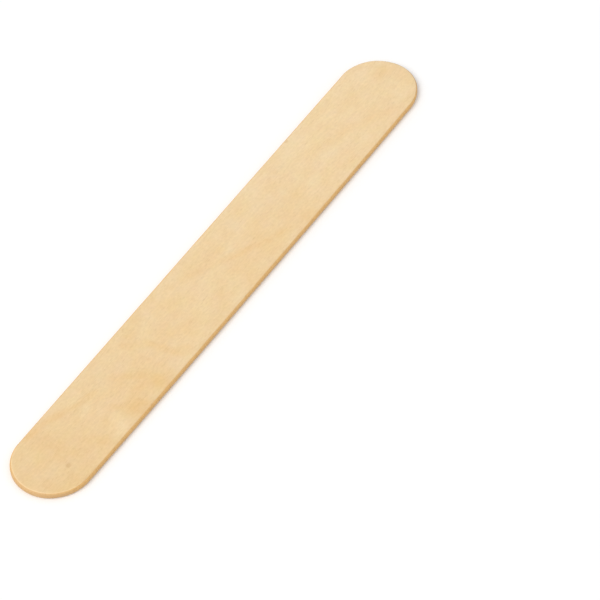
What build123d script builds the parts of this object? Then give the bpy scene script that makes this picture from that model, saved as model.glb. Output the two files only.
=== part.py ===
from build123d import *
import os

# Wooden tongue depressor: one thin flat blade, stamped from veneer and tumbled smooth.
# Both ends are alike, so either one can be held or used.
# Millimetres. The blade lies flat, with +X along its length and +Z up.
# The origin is the middle of the lower face.

length = 150.0  # from tip to tip
width = 18.0  # between the two straight sides
thickness = 1.6  # between the two faces
end_length = 9.7  # from a tip to where the straight sides begin
edge_radius = 0.5  # rounding of the arris round each face, left by tumbling
largest_edge_share = 0.45  # the most of the thickness that one rounding may take


def blade_outline():
    """The outline in plan: two straight sides, closed at each end by half an ellipse.

    An end is a little longer than half round, as end_length is more than half the width.
    """
    end_centre = length / 2 - end_length
    half_width = width / 2
    with BuildSketch() as outline:
        with BuildLine():
            front_end = EllipticalCenterArc((end_centre, 0), end_length, half_width, -90, arc_size=180)
            back_end = EllipticalCenterArc((-end_centre, 0), end_length, half_width, 90, arc_size=180)
            Line(front_end @ 1, back_end @ 0)
            Line(back_end @ 1, front_end @ 0)
        make_face()
    return outline.sketch


def tongue_blade():
    """The outline at full thickness, with the arris round each face rounded over."""
    solid = extrude(blade_outline(), amount=thickness)
    faces = solid.faces().sort_by(Axis.Z)
    arrises = faces[0].edges() + faces[-1].edges()
    radius = min(edge_radius, largest_edge_share * thickness)
    rounded = fillet(arrises, radius)
    rounded.label = "blade"
    return rounded


os.makedirs("parts", exist_ok=True)
export_step(tongue_blade(), "parts/blade.step")
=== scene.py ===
"""A wooden tongue depressor: one flat birch blade, stamped, tumbled smooth and lying on a pale floor."""
import math

import bmesh
import bpy
from mathutils import Matrix, Vector, noise


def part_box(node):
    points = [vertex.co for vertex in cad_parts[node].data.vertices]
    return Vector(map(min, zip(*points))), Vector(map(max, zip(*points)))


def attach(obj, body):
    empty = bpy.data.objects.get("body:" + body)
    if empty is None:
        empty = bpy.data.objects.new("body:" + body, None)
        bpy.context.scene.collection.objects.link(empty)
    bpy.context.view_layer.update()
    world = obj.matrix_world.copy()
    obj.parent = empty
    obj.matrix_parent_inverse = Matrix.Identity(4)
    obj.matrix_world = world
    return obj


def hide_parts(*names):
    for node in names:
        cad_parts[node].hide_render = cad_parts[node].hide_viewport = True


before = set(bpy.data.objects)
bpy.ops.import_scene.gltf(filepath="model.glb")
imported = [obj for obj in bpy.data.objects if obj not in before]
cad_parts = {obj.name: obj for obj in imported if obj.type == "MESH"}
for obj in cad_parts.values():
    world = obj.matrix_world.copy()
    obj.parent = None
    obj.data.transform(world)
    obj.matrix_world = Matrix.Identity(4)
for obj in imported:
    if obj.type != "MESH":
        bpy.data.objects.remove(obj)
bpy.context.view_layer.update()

MM = 0.001
blade_low, blade_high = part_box("blade")

# The blade's sizes in millimetres: +X is along the grain, +Z is up, and the lower face is at zero.
LENGTH = (blade_high.x - blade_low.x) / MM
WIDTH = (blade_high.y - blade_low.y) / MM
THICKNESS = (blade_high.z - blade_low.z) / MM
END_LENGTH = 9.7  # from a tip to where the straight sides begin
EDGE_RADIUS = 0.5  # rounding of the arris round each face

# How finely the blade is divided, in millimetres or steps.
END_STEPS = 120  # round one end
EDGE_STEPS = 7  # over a rounded arris
WALL_STEPS = 3  # up the wall between the two arrises
GRAIN_STEP = 0.75  # along the grain
CROSS_STEP = 0.15  # across the grain
TRIM = 0.03  # edges shorter than this are closed up
CUT_REACH = TRIM / 4  # a corner nearer to a cutting plane than this counts as on it

# The unevenness of the surface, in millimetres. It only takes wood away.
SIDE_BOW = 0.3  # how far the side at -Y would have drawn in at the tips, if it went on to them
SIDE_BOW_POWER = 2.5  # how late that starts: at 1 it would be even from the middle on
FACE_SWELL = 0.03  # long, low swells in the faces
EDGE_FALL = 0.06  # how far the faces fall away towards the outline
FALL_WIDTH = 1.3  # how far inside the outline that starts
FACE_GRAIN = 0.010  # raised grain
WALL_GRAIN = 0.03  # fibres and end grain on the cut edge
EDGE_WEAR = 0.10  # uneven tumbling of the arris
NICK_DEPTH = 0.25  # small bites out of the arris
NICK_RARITY = 0.42  # how high the random height has to rise before it bites

# How long, wide and deep the swells, grain, wear and nicks are, in millimetres.
SWELL_SIZE = (38.0, 13.0, 2.0)
GRAIN_SIZE = (8.0, 0.6, 0.4)
WEAR_SIZE = (4.0, 4.0, 1.5)
NICK_SIZE = (1.1, 0.9, 0.9)
NICK_SHIFT = 40.0  # the nicks are read from another stretch of the random heights

# The growth rings, in millimetres.
RING_SPACING = 44.5  # along the blade, from one ring to the next
RING_DEPTH = 1.3  # through the thickness, from one ring to the next
RING_SLANT = 2.3  # how far a ring runs along the blade for each step across it
RING_START = -41.5  # where the first ring crosses the middle of the upper face
RING_WAVE = 4.0  # how far apart the extremes of a ring's waves are

# How long, wide and deep the marks in the wood are, in millimetres.
BENDS = (36.0, 16.0, 16.0)  # slow bends in the grain
WAVES = (22.0, 7.0, 7.0)  # waves in a growth ring
BREAKS = (9.0, 4.0, 4.0)  # where a growth ring fades
STREAKS = (9.0, 0.80, 0.80)
FLECKS = (2.5, 0.70, 0.70)
FIBRES = (1.5, 0.18, 0.18)
HAIRS = (3.0, 0.06, 0.06)
SPECKLE = (0.8, 0.50, 0.50)
SHIMMER = (1.5, 5.0, 5.0)  # faint bars across the grain
CLOUDS = (8.6, 4.4, 4.4)
STRAYS = (4.4, 3.4, 3.4)  # where one of red, green and blue strays by itself
VESSELS = (2.4, 0.20, 0.20)  # the room that one vessel line has
VESSEL_GROUPS = (6.0, 1.2, 1.2)
TEARS = (0.50, 0.50, 1.00)  # torn spots in the cut edge
GRAIN_BEND = 3.0  # how far the grain bends sideways
PATCH_DEPTH = 0.8  # how deep a soft patch goes below the upper face
RELIEF = 0.012  # height of the fine grain

# Soft steps: where each mark begins, and where it is whole.
BAND_IN = (0.42, 0.49)  # the warm band of a growth ring, as a share of the ring
BAND_OUT = (0.59, 0.52)
BAND_UNBROKEN = (0.25, 0.75)  # the random value that hides a band, and the one that leaves it whole
VESSEL_EDGE = (0.30, 0.16)  # from the middle of a vessel line's room
VESSELS_CROWDED = (0.30, 0.65)  # random values, as for a band
TORN = (0.40, 0.70)  # random values, as for a band
# Where the painted highlight lies, on the tips' arris that would catch the light:
HIGHLIGHT_TURNED = (0.998, 0.94)  # how squarely the surface faces up
HIGHLIGHT_NOT_STEEP = (0.60, 0.80)
HIGHLIGHT_NEAR_TIP = (64.0, 70.0)  # millimetres from the middle of the blade, towards either tip
END_GRAIN = (0.15, 0.75)  # how squarely the surface faces along the grain
SPOT_EDGE = (1.25, 0.35)  # radii from the middle of a soft spot
WALL_EDGE = (0.05, 0.20)  # millimetres below the upper face, and above the lower one

# The sheen.
ROUGHNESS = 0.46
REFRACTION = 1.45

# Linear colours of the wood. The two cut-edge colours are partly painted shade.
PALE = (0.892, 0.682, 0.408, 1)
WARM = (0.854, 0.578, 0.274, 1)
VESSEL = (0.580, 0.360, 0.150, 1)
# The cut edge along the sides: its own browner side grain, made deeper and more orange with painted shade
# and warm bounce light.
SIDE_WALL_AND_SHADE = (0.860, 0.495, 0.160, 1)
# The cut edge at the tips: its own darker end grain, made darker still with painted shade.
END_WALL_AND_SHADE = (0.695, 0.422, 0.182, 1)
TORN_WALL = (0.620, 0.350, 0.125, 1)
KNOT = (0.515, 0.290, 0.090, 1)
TINT = Vector((0.045, 0.07, 0.19))  # how far red, green and blue stray by themselves

# The faces' warmth and brightness at the middle of the blade, and how they change with each millimetre.
WARMTH = 0.315  # 0 is all pale, and 1 all warm
WARMTH_ALONG = -0.0024
WARMTH_ACROSS = -0.008
BRIGHTNESS = 1.0  # 1 leaves the colours as they are
BRIGHTNESS_ALONG = 0.00017

# How much of each colour covers what is beneath it.
VESSEL_SHARE = 0.25
END_VESSEL_SHARE = 0.30  # on top of that in end grain
WALL_SHARE = 0.85
TORN_SHARE = 0.5
KNOT_SHARE = 0.28

# Soft patches in the upper face: where, their two radii, their turn, and how much warmer and lighter.
PATCHES = (
    ((-66.0, 0.0), (12.0, 12.0), 0, 0.15, -0.008),
    ((-71.7, -3.0), (1.8, 1.4), 90, 0.20, 0.000),
    ((-62.0, 4.8), (3.8, 1.8), 84, 0.08, -0.010),
    ((-61.0, 7.8), (4.0, 1.2), -8, 0.30, 0.000),
    ((-54.5, 6.3), (4.4, 1.2), -20, 0.30, 0.000),
    ((-47.2, 3.8), (4.2, 1.0), -12, 0.30, 0.000),
    ((-51.0, 1.7), (3.4, 1.0), 12, -0.16, 0.015),
    ((-49.6, -5.7), (3.7, 2.3), 46, -0.20, 0.030),
    ((-55.0, -5.6), (2.0, 1.8), 0, 0.22, 0.000),
    ((-46.2, -2.2), (3.0, 1.2), -52, 0.20, -0.005),
    ((-43.1, -7.0), (4.4, 3.2), -64, 0.42, -0.005),
    ((-36.6, -3.2), (7.0, 4.2), -60, 0.12, 0.000),
    ((-38.6, 1.6), (3.2, 1.4), -45, 0.20, 0.000),
    ((-35.9, -1.6), (3.0, 1.6), -58, 0.18, 0.000),
    ((-34.4, -6.6), (3.0, 2.2), 80, 0.26, 0.000),
    ((-30.0, 4.9), (2.8, 1.5), -62, 0.20, 0.000),
    ((-27.4, 2.0), (2.8, 1.4), -52, 0.20, 0.000),
    ((-26.3, -2.2), (3.8, 1.5), -84, 0.24, 0.000),
    ((-24.4, -6.0), (2.8, 1.6), -42, 0.30, 0.000),
    ((-20.0, 0.0), (10.0, 10.0), 0, 0.00, 0.004),
    ((-8.5, -1.5), (7.0, 6.0), 0, 0.03, 0.000),
    ((-4.3, 4.4), (2.4, 1.4), -28, 0.20, 0.000),
    ((4.3, 4.8), (2.4, 1.7), 0, -0.14, 0.000),
    ((4.2, 0.0), (2.4, 1.0), -28, 0.11, 0.000),
    ((6.2, -0.9), (7.6, 1.2), -24, 0.19, 0.000),
    ((13.7, 0.2), (1.8, 2.6), 0, -0.18, 0.000),
    ((16.6, -5.0), (4.0, 1.2), -18, 0.18, 0.000),
    ((24.0, -7.4), (3.4, 1.2), -14, 0.20, 0.000),
    ((27.2, 1.0), (1.7, 3.0), 0, -0.14, 0.000),
    ((34.0, -2.9), (2.4, 1.6), 0, -0.20, 0.000),
    ((45.3, 0.6), (1.6, 1.2), 0, 0.16, 0.000),
    ((48.4, -0.7), (3.0, 0.9), 0, 0.18, 0.000),
    ((52.0, 1.4), (20.0, 3.4), 0, 0.09, 0.000),
    ((70.8, 2.1), (3.0, 1.6), 10, 0.30, -0.004),
    ((67.0, 0.0), (13.0, 12.0), 0, 0.08, -0.006),
)

# Pin knots: where they are, on the upper face and near one side, and their radii.
KNOTS = (
    ((-64.8, -3.3, THICKNESS), (0.80, 0.68, 0.8)),
    ((40.5, 8.40, THICKNESS), (0.60, 0.50, 0.6)),
)

# The light. A level is how bright it makes white paper that faces it.
SKY_LEVEL = 0.65
KEY_LEVEL = 0.52
KEY_DIRECTION = (-0.82, 0.24, 1.0)
KEY_DISTANCE = 6.0  # metres
KEY_SIZE = 4.0  # metres

# The floor, in metres and linear colours.
FLOOR_REACH = 3.0  # from its middle to each side
FLOOR_SEEN = (1.0, 1.0, 1.0, 1)
FLOOR_LIT = (0.85, 0.85, 0.85, 1)
FLOOR_GLOW = 0.03

# The camera, in degrees and metres. It looks down on the blade from beyond the end at -X.
VIEW_TURN = 59.77
VIEW_HEIGHT = 46.82
VIEW_ROLL = 1.8
VIEW_DISTANCE = 1.159
VIEW_RIGHT = 0.01705  # the middle of the picture, right of the middle of the upper face
VIEW_UP = -0.00676  # and above it
NEAREST = 0.01  # nothing nearer to the camera is drawn
FOCAL_PIXELS = 5385.5  # focal length and width of the picture, in pixels
PICTURE_PIXELS = 600.0
SENSOR_WIDTH = 36.0  # millimetres, as the lens is


# The shape

def blade_outline(bm):
    """The flat outline: an end swept round, drawn out to half an ellipse, mirrored and joined up."""
    half_width = WIDTH / 2
    start = bm.verts.new((0, -half_width, 0))
    bmesh.ops.spin(bm, geom=[start], cent=(0, 0, 0), axis=(0, 0, 1), angle=math.pi, steps=END_STEPS)
    bmesh.ops.scale(bm, vec=(END_LENGTH / half_width, 1, 1), verts=bm.verts)
    bmesh.ops.translate(bm, vec=(LENGTH / 2 - END_LENGTH, 0, 0), verts=bm.verts)
    bmesh.ops.mirror(bm, geom=bm.verts[:] + bm.edges[:], axis="X", merge_dist=0)
    bmesh.ops.bridge_loops(bm, edges=bm.edges[:])
    return bmesh.ops.dissolve_faces(bm, faces=bm.faces[:])["region"]


def cut(bm, place, normal):
    """Divides the whole blade by one plane."""
    geometry = bm.verts[:] + bm.edges[:] + bm.faces[:]
    bmesh.ops.bisect_plane(bm, geom=geometry, dist=CUT_REACH, plane_co=place, plane_no=normal)


def cut_evenly(bm, normal, half_span, step):
    """Divides the blade by a row of planes, so that its faces follow the grain."""
    count = int(half_span / step)
    for number in range(-count, count + 1):
        cut(bm, Vector(normal) * step * number, normal)


def blade_solid(bm):
    """The outline at full thickness, with both arrises rounded and every face divided along the grain."""
    raised = bmesh.ops.extrude_face_region(bm, geom=blade_outline(bm))["geom"]
    top = [item for item in raised if isinstance(item, bmesh.types.BMVert)]
    bmesh.ops.translate(bm, vec=(0, 0, THICKNESS), verts=top)
    bmesh.ops.recalc_face_normals(bm, faces=bm.faces[:])
    arrises = [edge for edge in bm.edges if edge.verts[0].co.z == edge.verts[1].co.z]
    bmesh.ops.bevel(
        bm, geom=arrises, offset=EDGE_RADIUS, offset_type="OFFSET", segments=EDGE_STEPS,
        profile=0.5, affect="EDGES", material=-1, clamp_overlap=True,
    )
    cut_evenly(bm, (1, 0, 0), LENGTH / 2 - 2 * EDGE_RADIUS, GRAIN_STEP)
    cut_evenly(bm, (0, 1, 0), WIDTH / 2 - 1.5 * EDGE_RADIUS, CROSS_STEP)
    wall_height = THICKNESS - 2 * EDGE_RADIUS
    for number in range(1, WALL_STEPS):
        cut(bm, (0, 0, EDGE_RADIUS + wall_height * number / WALL_STEPS), (0, 0, 1))
    bmesh.ops.dissolve_degenerate(bm, dist=TRIM, edges=bm.edges[:])
    bmesh.ops.recalc_face_normals(bm, faces=bm.faces[:])


def edge_distance(place):
    """About how far inside the outline a place is, in millimetres."""
    past_side = max(0.0, abs(place.x) - (LENGTH / 2 - END_LENGTH)) / END_LENGTH
    half_width = WIDTH / 2
    return (1 - math.hypot(past_side, place.y / half_width)) * half_width


def random_height(place, sizes, shift=0.0):
    """A smooth random height from about -1 to 1, in humps of about the given sizes."""
    scaled = Vector([part / size for part, size in zip(place, sizes)])
    return noise.noise(scaled + Vector((shift, 0, 0)))


def unevenness(place, facing):
    """How much wood is missing at a place, in millimetres: swells, raised grain, worn arris and nicks."""
    flat = facing.z * facing.z
    arris = 4 * flat * (1 - flat)
    near_edge = max(0.0, 1 - edge_distance(place) / FALL_WIDTH)
    swell = 0.5 + 0.5 * random_height(place, SWELL_SIZE)
    grain = 0.5 + 0.5 * random_height(place, GRAIN_SIZE)
    wear = 0.5 + 0.5 * random_height(place, WEAR_SIZE)
    bite = max(0.0, random_height(place, NICK_SIZE, NICK_SHIFT) - NICK_RARITY)
    depth = FACE_SWELL * flat * swell
    depth += EDGE_FALL * flat * near_edge ** 2
    depth += (FACE_GRAIN * flat + WALL_GRAIN * (1 - flat)) * grain
    depth += EDGE_WEAR * arris * wear
    depth += NICK_DEPTH * arris * bite
    return depth


def weather(bm):
    """Draws one side in a little and takes the uneven surface out of the exact shape."""
    half_width = WIDTH / 2
    bm.normal_update()
    lowered = [(vert, vert.normal * unevenness(vert.co, vert.normal)) for vert in bm.verts]
    for vert, depth in lowered:
        vert.co -= depth
        if vert.co.y < 0:
            reach = abs(vert.co.x) / (LENGTH / 2)
            vert.co.y += SIDE_BOW * reach ** SIDE_BOW_POWER * (vert.co.y / half_width) ** 2


def blade():
    """The whole blade as one closed mesh, in metres, where the solid lies."""
    bm = bmesh.new()
    blade_solid(bm)
    weather(bm)
    for face in bm.faces:
        face.smooth = True
    bmesh.ops.scale(bm, vec=(MM, MM, MM), verts=bm.verts)
    mesh = bpy.data.meshes.new("wooden_blade")
    bm.to_mesh(mesh)
    bm.free()
    made = bpy.data.objects.new("wooden_blade", mesh)
    bpy.context.scene.collection.objects.link(made)
    return made


# Steps that every material is made of

def add(tree, kind, inputs=None, **settings):
    """A new node. Its inputs are values or other nodes' outputs, by name or number."""
    made = tree.nodes.new("ShaderNode" + kind)
    for name, value in settings.items():
        setattr(made, name, value)
    for key, value in (inputs or {}).items():
        if isinstance(value, bpy.types.NodeSocket):
            tree.links.new(value, made.inputs[key])
        else:
            made.inputs[key].default_value = value
    return made


def maths(tree, operation, *values):
    """A sum, product or other step on numbers."""
    return add(tree, "Math", dict(enumerate(values)), operation=operation).outputs[0]


def vector_maths(tree, operation, *values):
    """The same on places, sizes and colours."""
    made = add(tree, "VectorMath", dict(enumerate(values)), operation=operation)
    return made.outputs["Value" if operation == "LENGTH" else "Vector"]


def mottle(tree, place, sizes, detail=2.0, roughness=0.5, output="Fac"):
    """Soft random light and dark from 0 to 1, in blotches of about the given sizes."""
    spread = vector_maths(tree, "DIVIDE", place, sizes)
    inputs = {"Vector": spread, "Scale": 1.0, "Detail": detail, "Roughness": roughness}
    return add(tree, "TexNoise", inputs).outputs[output]


def between(tree, value, low, high):
    """0 up to low, 1 from high, and a smooth step between them. Low may be the larger."""
    inputs = {"Value": value, "From Min": low, "From Max": high}
    return add(tree, "MapRange", inputs, interpolation_type="SMOOTHSTEP").outputs[0]


def added(tree, start, *shares):
    """Start, plus each value times its weight."""
    total = start
    for value, weight in shares:
        total = maths(tree, "MULTIPLY_ADD", value, weight, total)
    return total


def varied(tree, middle, *shares):
    """The middle value, made higher or lower by each mottle times its weight."""
    return added(tree, middle - sum(weight for _, weight in shares) / 2, *shares)


def mixed(tree, share, below, above):
    """One colour over another."""
    made = add(tree, "Mix", {0: share}, data_type="RGBA", clamp_factor=True)
    for socket, colour in ((made.inputs[6], below), (made.inputs[7], above)):
        if isinstance(colour, bpy.types.NodeSocket):
            tree.links.new(colour, socket)
        else:
            socket.default_value = colour
    return made.outputs[2]


def spot(tree, place, centre, radii, turn=0.0, ragged=0.0):
    """1 inside a soft-edged spot at a place in the wood, and 0 away from it. Turn is in degrees."""
    inputs = {"Vector": place, "Location": centre, "Rotation": (0, 0, math.radians(turn)), "Scale": radii}
    away = add(tree, "Mapping", inputs, vector_type="TEXTURE").outputs[0]
    away = maths(tree, "ADD", vector_maths(tree, "LENGTH", away), ragged)
    return between(tree, away, *SPOT_EDGE)


# The wood

def bent_grain(tree, place):
    """Places moved sideways, so that what is drawn on them follows a slowly bending grain."""
    bend = maths(tree, "MULTIPLY", mottle(tree, place, BENDS, detail=1.0), GRAIN_BEND)
    return vector_maths(tree, "ADD", place, add(tree, "CombineXYZ", {1: bend}).outputs[0])


def ring_bands(tree, place):
    """1 in the warm band of each growth ring, which fades here and there, and 0 between the bands.

    The rings are counted from the first one, which has its band at a whole number. Half a ring more
    brings each band to the middle of its share.
    """
    along, across, up = add(tree, "SeparateXYZ", {0: place}).outputs
    distance = maths(tree, "MULTIPLY_ADD", across, RING_SLANT, along)
    distance = added(tree, distance, (mottle(tree, place, WAVES), RING_WAVE))
    distance = maths(tree, "SUBTRACT", distance, RING_START + RING_WAVE / 2)
    depth = maths(tree, "DIVIDE", maths(tree, "SUBTRACT", up, THICKNESS), RING_DEPTH)
    count = maths(tree, "MULTIPLY_ADD", distance, 1 / RING_SPACING, depth)
    share = maths(tree, "FRACT", maths(tree, "ADD", count, 0.5))
    band = maths(tree, "MULTIPLY", between(tree, share, *BAND_IN), between(tree, share, *BAND_OUT))
    unbroken = between(tree, mottle(tree, place, BREAKS), *BAND_UNBROKEN)
    return maths(tree, "MULTIPLY", band, unbroken)


def vessel_lines(tree, place, grain):
    """1 in short lines along the grain, where vessels are cut open. They come in loose groups."""
    room = vector_maths(tree, "DIVIDE", grain, VESSELS)
    from_middle = add(tree, "TexVoronoi", {"Vector": room, "Scale": 1.0}).outputs["Distance"]
    crowded = between(tree, mottle(tree, place, VESSEL_GROUPS), *VESSELS_CROWDED)
    return maths(tree, "MULTIPLY", between(tree, from_middle, *VESSEL_EDGE), crowded)


def painted_tip_highlight(tree, along, facing_up):
    """1 where the upper face turns into the rounded arris at the two ends: a painted highlight, paler and
    lighter, where the arris would catch the light.
    """
    turned = between(tree, facing_up, *HIGHLIGHT_TURNED)
    not_steep = between(tree, facing_up, *HIGHLIGHT_NOT_STEEP)
    near_tip = between(tree, maths(tree, "ABSOLUTE", along), *HIGHLIGHT_NEAR_TIP)
    return maths(tree, "MULTIPLY", maths(tree, "MULTIPLY", turned, not_steep), near_tip)


def face_colour(tree, place, facing_up, tone):
    """The faces' colour, pale to warm, with rings, clouds, patches and a painted highlight at the tips.
    Tone is the light and dark grain.
    """
    along, across, _ = add(tree, "SeparateXYZ", {0: place}).outputs
    tip_highlight = painted_tip_highlight(tree, along, facing_up)
    bands = ring_bands(tree, place)
    clouds = mottle(tree, place, CLOUDS, detail=3.0)
    shimmer = mottle(tree, place, SHIMMER, detail=1.0)
    warmth = varied(tree, WARMTH, (shimmer, 0.20), (clouds, 1.15))
    warmth = added(tree, warmth, (tone, -1.7), (along, WARMTH_ALONG), (across, WARMTH_ACROSS))
    # Painted highlight: the tips' arris is made paler and lighter, as if it caught the light.
    warmth = added(tree, warmth, (bands, 0.16), (tip_highlight, -0.25))
    brightness = added(tree, BRIGHTNESS, (tone, 1.0), (along, BRIGHTNESS_ALONG), (tip_highlight, 0.06))
    ragged = varied(tree, 0.0, (clouds, 1.2))
    for (x, y), (half_length, half_width), turn, warmer, lighter in PATCHES:
        radii = (half_length, half_width, PATCH_DEPTH)
        patch = spot(tree, place, (x, y, THICKNESS), radii, turn, ragged)
        warmth = added(tree, warmth, (patch, warmer))
        brightness = added(tree, brightness, (patch, lighter))
    stray = mottle(tree, place, STRAYS, detail=3.0, roughness=0.6, output="Color")
    stray = vector_maths(tree, "MULTIPLY_ADD", stray, TINT, Vector((1, 1, 1)) - TINT / 2)
    colour = vector_maths(tree, "MULTIPLY", mixed(tree, warmth, PALE, WARM), stray)
    return add(tree, "VectorMath", {0: colour, "Scale": brightness}, operation="SCALE").outputs[0]


def cut_wall(tree, place):
    """1 on the cut edge and most of its arrises, and 0 on the faces."""
    up = add(tree, "SeparateXYZ", {0: place}).outputs[2]
    from_middle = maths(tree, "ABSOLUTE", maths(tree, "SUBTRACT", up, THICKNESS / 2))
    start, whole = [THICKNESS / 2 - below_face for below_face in WALL_EDGE]
    return between(tree, from_middle, start, whole)


def birch():
    """Pale birch veneer: its colour on the faces and the cut edge, with painted shade on the cut edge and a
    painted highlight at the tips, its sheen and its raised grain.
    """
    material = bpy.data.materials.new("birch")
    material.use_nodes = True
    tree = material.node_tree
    shader = tree.nodes["Principled BSDF"]
    coordinates = add(tree, "TexCoord").outputs
    place = vector_maths(tree, "DIVIDE", coordinates["Object"], (MM, MM, MM))
    grain = bent_grain(tree, place)
    facing_along, _, facing_up = add(tree, "SeparateXYZ", {0: coordinates["Normal"]}).outputs

    streaks = mottle(tree, grain, STREAKS)
    flecks = mottle(tree, grain, FLECKS, detail=1.0)
    fibres = mottle(tree, grain, FIBRES)
    hairs = mottle(tree, grain, HAIRS, detail=1.0)
    speckle = mottle(tree, place, SPECKLE, detail=1.0)
    vessels = vessel_lines(tree, place, grain)
    tone = varied(
        tree, 0.0, (streaks, 0.06), (flecks, 0.05), (fibres, 0.05), (hairs, 0.05), (speckle, 0.13)
    )
    colour = face_colour(tree, place, facing_up, tone)

    end = between(tree, maths(tree, "ABSOLUTE", facing_along), *END_GRAIN)
    wall = cut_wall(tree, place)
    tears = between(tree, mottle(tree, place, TEARS, detail=3.0, roughness=0.7), *TORN)
    # The cut edge: the wood's own edge colour with painted shade in it.
    smooth_wall_and_shade = mixed(tree, end, SIDE_WALL_AND_SHADE, END_WALL_AND_SHADE)
    wall_and_shade_colour = mixed(tree, maths(tree, "MULTIPLY", tears, TORN_SHARE), smooth_wall_and_shade, TORN_WALL)
    colour = mixed(tree, maths(tree, "MULTIPLY", wall, WALL_SHARE), colour, wall_and_shade_colour)
    tears = maths(tree, "MULTIPLY", tears, wall)

    vessel_share = maths(tree, "MULTIPLY", vessels, added(tree, VESSEL_SHARE, (end, END_VESSEL_SHARE)))
    colour = mixed(tree, vessel_share, colour, VESSEL)
    for centre, radii in KNOTS:
        knot_share = maths(tree, "MULTIPLY", spot(tree, place, centre, radii), KNOT_SHARE)
        colour = mixed(tree, knot_share, colour, KNOT)
    tree.links.new(colour, shader.inputs["Base Color"])

    rough = added(tree, ROUGHNESS, (streaks, 0.10), (fibres, 0.10), (vessels, 0.12), (tears, 0.2))
    tree.links.new(rough, shader.inputs["Roughness"])
    shader.inputs["IOR"].default_value = REFRACTION
    height = added(tree, 0.0, (fibres, 0.5), (hairs, 0.3), (streaks, 0.5), (speckle, 0.3))
    height = added(tree, height, (vessels, -1.0), (tears, -1.5))
    bump = add(tree, "Bump", {"Height": height, "Strength": 1.0, "Distance": RELIEF * MM})
    tree.links.new(bump.outputs[0], shader.inputs["Normal"])
    return material


# The stage, the light and the camera

def flat_colour(name, seen, lit_by, glow):
    """A matte surface with one colour to the eye and another for the light that it gives back.

    The eye is the camera, also by way of a reflection or through something clear. The glow is a
    little light for the eye alone, so that the pale floor comes out white.
    """
    material = bpy.data.materials.new(name)
    material.use_nodes = True
    tree = material.node_tree
    path = add(tree, "LightPath").outputs
    direct = maths(tree, "MAXIMUM", path["Is Camera Ray"], path["Is Glossy Ray"])
    direct = maths(tree, "MAXIMUM", direct, path["Is Transmission Ray"])
    shader = tree.nodes["Principled BSDF"]
    tree.links.new(mixed(tree, direct, lit_by, seen), shader.inputs["Base Color"])
    shader.inputs["Roughness"].default_value = 1.0
    shader.inputs["Specular IOR Level"].default_value = 0.0
    shader.inputs["Emission Color"].default_value = seen
    tree.links.new(maths(tree, "MULTIPLY", direct, glow), shader.inputs["Emission Strength"])
    return material


def floor():
    """A wide pale floor that the blade rests on."""
    bm = bmesh.new()
    bmesh.ops.create_grid(bm, x_segments=1, y_segments=1, size=FLOOR_REACH)
    mesh = bpy.data.meshes.new("floor")
    bm.to_mesh(mesh)
    bm.free()
    made = bpy.data.objects.new("floor", mesh)
    bpy.context.scene.collection.objects.link(made)
    mesh.materials.append(flat_colour("pale_floor", FLOOR_SEEN, FLOOR_LIT, FLOOR_GLOW))


def surroundings(level):
    """Plain white light from all round, and white behind everything."""
    world = bpy.data.worlds.new("surroundings")
    bpy.context.scene.world = world
    world.use_nodes = True
    tree = world.node_tree
    background = tree.nodes["Background"]
    path = add(tree, "LightPath").outputs
    direct = maths(tree, "MAXIMUM", path["Is Camera Ray"], path["Is Transmission Ray"])
    strength = maths(tree, "MULTIPLY_ADD", direct, 1.0 - level, level)
    background.inputs["Color"].default_value = (1, 1, 1, 1)
    tree.links.new(strength, background.inputs["Strength"])


def softbox(name, direction, distance, size, level):
    """A square lamp that faces the blade."""
    data = bpy.data.lights.new(name, "AREA")
    data.shape = "SQUARE"
    data.size = size
    data.energy = level * (math.pi * distance) ** 2
    made = bpy.data.objects.new(name, data)
    towards = Vector(direction).normalized()
    made.location = towards * distance
    made.rotation_euler = (-towards).to_track_quat("-Z", "Y").to_euler()
    bpy.context.scene.collection.objects.link(made)


def camera():
    """A long lens at the photograph's angle, aimed right of the upper face's middle and a little below."""
    turn = math.radians(VIEW_TURN)
    height = math.radians(VIEW_HEIGHT)
    roll = math.radians(VIEW_ROLL)
    level = Vector((math.cos(turn), -math.sin(turn), 0))
    ahead = Vector((math.sin(turn), math.cos(turn), 0))
    forward = ahead * math.cos(height) - Vector((0, 0, math.sin(height)))
    right = level * math.cos(roll) + level.cross(forward) * math.sin(roll)
    up = right.cross(forward)
    aim = Vector((0, 0, THICKNESS * MM)) + right * VIEW_RIGHT + up * VIEW_UP
    data = bpy.data.cameras.new("camera")
    data.sensor_width = SENSOR_WIDTH
    data.lens = FOCAL_PIXELS / PICTURE_PIXELS * SENSOR_WIDTH
    data.clip_start = NEAREST
    made = bpy.data.objects.new("camera", data)
    made.location = aim - forward * VIEW_DISTANCE
    made.rotation_euler = Matrix((right, up, -forward)).transposed().to_euler()
    bpy.context.scene.collection.objects.link(made)
    bpy.context.scene.camera = made


camera()
surroundings(SKY_LEVEL)
softbox("key_lamp", KEY_DIRECTION, KEY_DISTANCE, KEY_SIZE, KEY_LEVEL)
floor()
piece = blade()
piece.data.materials.append(birch())
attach(piece, "root")
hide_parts("blade")
bpy.context.scene.view_settings.view_transform = "Standard"
